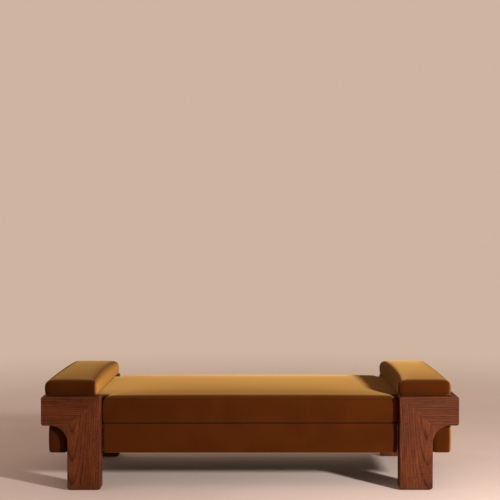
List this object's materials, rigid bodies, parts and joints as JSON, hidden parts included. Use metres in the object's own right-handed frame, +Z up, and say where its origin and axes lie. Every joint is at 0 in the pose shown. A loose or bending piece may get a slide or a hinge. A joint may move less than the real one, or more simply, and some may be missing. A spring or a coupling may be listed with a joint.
{
  "type": "daybed",
  "caption": "Low backless daybed: thick timber arm-and-leg end frames with arches, an upholstered box base, a loose velvet mattress and flat end bolsters.",
  "frame": {"origin": "on the floor, below the middle of the daybed", "axes": "+X along the length to the right end as seen from the front, +Y from the front to the back, +Z up"},
  "size_m": [2, 0.9, 0.5383],
  "materials": {
    "stained_wood": "satin",
    "joint_wood": "matte",
    "frame_timber": "matte",
    "velvet": "matte",
    "foam": "matte",
    "lining": "matte",
    "zinc_steel": "satin",
    "nylon": "matte",
    "zip_tape": "matte",
    "zip_metal": "satin"
  },
  "bodies": {
    "frame": {"arch_bracket_back_left": "stained_wood", "arch_bracket_back_right": "stained_wood", "arch_bracket_front_left": "stained_wood", "arch_bracket_front_right": "stained_wood", "arm_back_left": "stained_wood", "arm_back_right": "stained_wood", "arm_front_left": "stained_wood", "arm_front_right": "stained_wood", "base_cover_back": "velvet", "base_cover_front": "velvet", "base_cover_left": "velvet", "base_cover_right": "velvet", "base_foam_back": "foam", "base_foam_front": "foam", "base_foam_left": "foam", "base_foam_right": "foam", "base_rail_back": "frame_timber", "base_rail_front": "frame_timber", "base_rail_left": "frame_timber", "base_rail_right": "frame_timber", "bracket_dowels": "joint_wood", "corner_blocks": "frame_timber", "cross_tie_left": "frame_timber", "cross_tie_middle": "frame_timber", "cross_tie_right": "frame_timber", "deck_border": "velvet", "deck_cloth": "lining", "dust_cover": "lining", "end_rail_left": "stained_wood", "end_rail_right": "stained_wood", "frame_screws": "zinc_steel", "glides": "nylon", "leg_back_left": "stained_wood", "leg_back_right": "stained_wood", "leg_bolt_inserts": "zinc_steel", "leg_bolt_washers": "zinc_steel", "leg_bolts": "zinc_steel", "leg_front_left": "stained_wood", "leg_front_right": "stained_wood", "mitre_tenons": "joint_wood", "rail_dowels": "joint_wood", "slat_bearer_back": "frame_timber", "slat_bearer_front": "frame_timber", "slat_screws": "zinc_steel", "slats": "frame_timber"},
    "mattress": {"mattress_core": "foam", "mattress_cover": "velvet", "mattress_zip": "zip_tape", "mattress_zip_pull": "zip_metal"},
    "bolster_left": {"bolster_core_left": "foam", "bolster_cover_left": "velvet", "bolster_zip_left": "zip_tape", "bolster_zip_pull_left": "zip_metal"},
    "bolster_right": {"bolster_core_right": "foam", "bolster_cover_right": "velvet", "bolster_zip_pull_right": "zip_metal", "bolster_zip_right": "zip_tape"}
  },
  "joints": [
    {"name": "mattress_lift", "type": "slide", "parent": "frame", "child": "mattress", "axis": [0, 0, 1], "range_m": [0, 0.2]},
    {"name": "bolster_left_lift", "type": "slide", "parent": "mattress", "child": "bolster_left", "axis": [0, 0, 1], "range_m": [0, 0.15]},
    {"name": "bolster_right_lift", "type": "slide", "parent": "mattress", "child": "bolster_right", "axis": [0, 0, 1], "range_m": [0, 0.15]}
  ]
}
